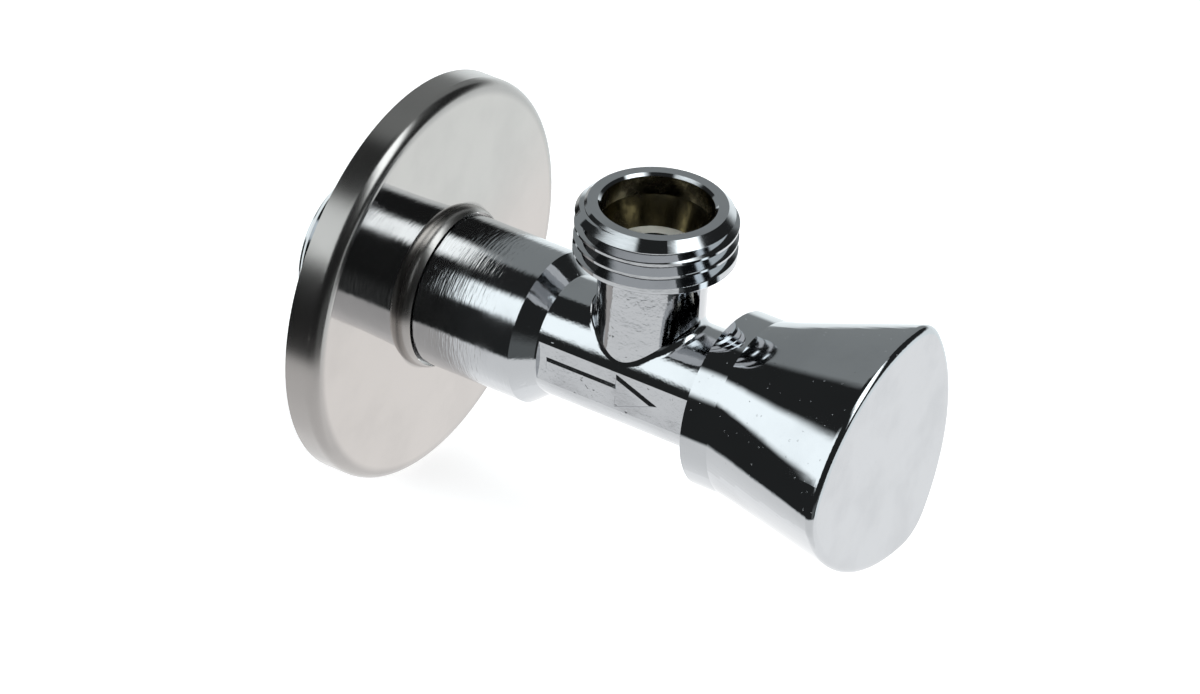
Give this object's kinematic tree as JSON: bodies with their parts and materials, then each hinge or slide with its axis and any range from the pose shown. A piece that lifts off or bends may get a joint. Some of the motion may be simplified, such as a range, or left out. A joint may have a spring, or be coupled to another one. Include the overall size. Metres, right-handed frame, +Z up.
{
  "type": "angle stop valve",
  "caption": "Chromed half-inch angle stop valve with wall rosette, threaded inlet and outlet, piston headwork and three-lobed knob.",
  "frame": {"origin": "on the valve axis in the wall plane, which is the plane of the rosette's back rim and of the inlet thread's inner end", "axes": "+X along the valve axis from the wall to the knob, +Z up the outlet nozzle"},
  "size_m": [0.084, 0.0548, 0.0548],
  "materials": {
    "chromed_brass": "polished chrome plate on brass",
    "chromed_knob": "mirror chrome plate",
    "stainless": "polished stainless sheet",
    "brass": "turned",
    "spring_steel": "bright",
    "rubber": "matte",
    "white_plastic": "moulded acetal"
  },
  "bodies": {
    "valve": {"valve_body": "chromed_brass", "headwork_housing": "brass", "housing_o_ring": "rubber"},
    "rosette": {"rosette": "stainless"},
    "knob_and_spindle": {"knob_shell": "chromed_knob", "knob_insert": "white_plastic", "knob_clip": "spring_steel", "spindle": "brass", "spindle_o_ring_inner": "rubber", "spindle_o_ring_outer": "rubber", "slip_washer": "white_plastic", "spindle_circlip": "spring_steel"},
    "piston_assembly": {"piston": "brass", "piston_o_ring": "rubber", "washer_cup": "brass", "seat_washer": "rubber", "washer_screw": "spring_steel"}
  },
  "joints": [
    {"name": "handle_turn", "type": "hinge", "parent": "valve", "child": "knob_and_spindle", "pos_m": [0.06, 0, 0], "axis": [1, 0, 0], "range_deg": [0, 1020]},
    {"name": "piston_lift", "type": "slide", "parent": "valve", "child": "piston_assembly", "axis": [1, 0, 0], "range_m": [0, 0.00426]},
    {"name": "rosette_slide", "type": "slide", "parent": "valve", "child": "rosette", "axis": [1, 0, 0], "range_m": [-0.008, 0.014]}
  ],
  "couplings": [
    {"joint": "piston_lift", "follows": "handle_turn", "m_per_rad": 0.00023873}
  ]
}
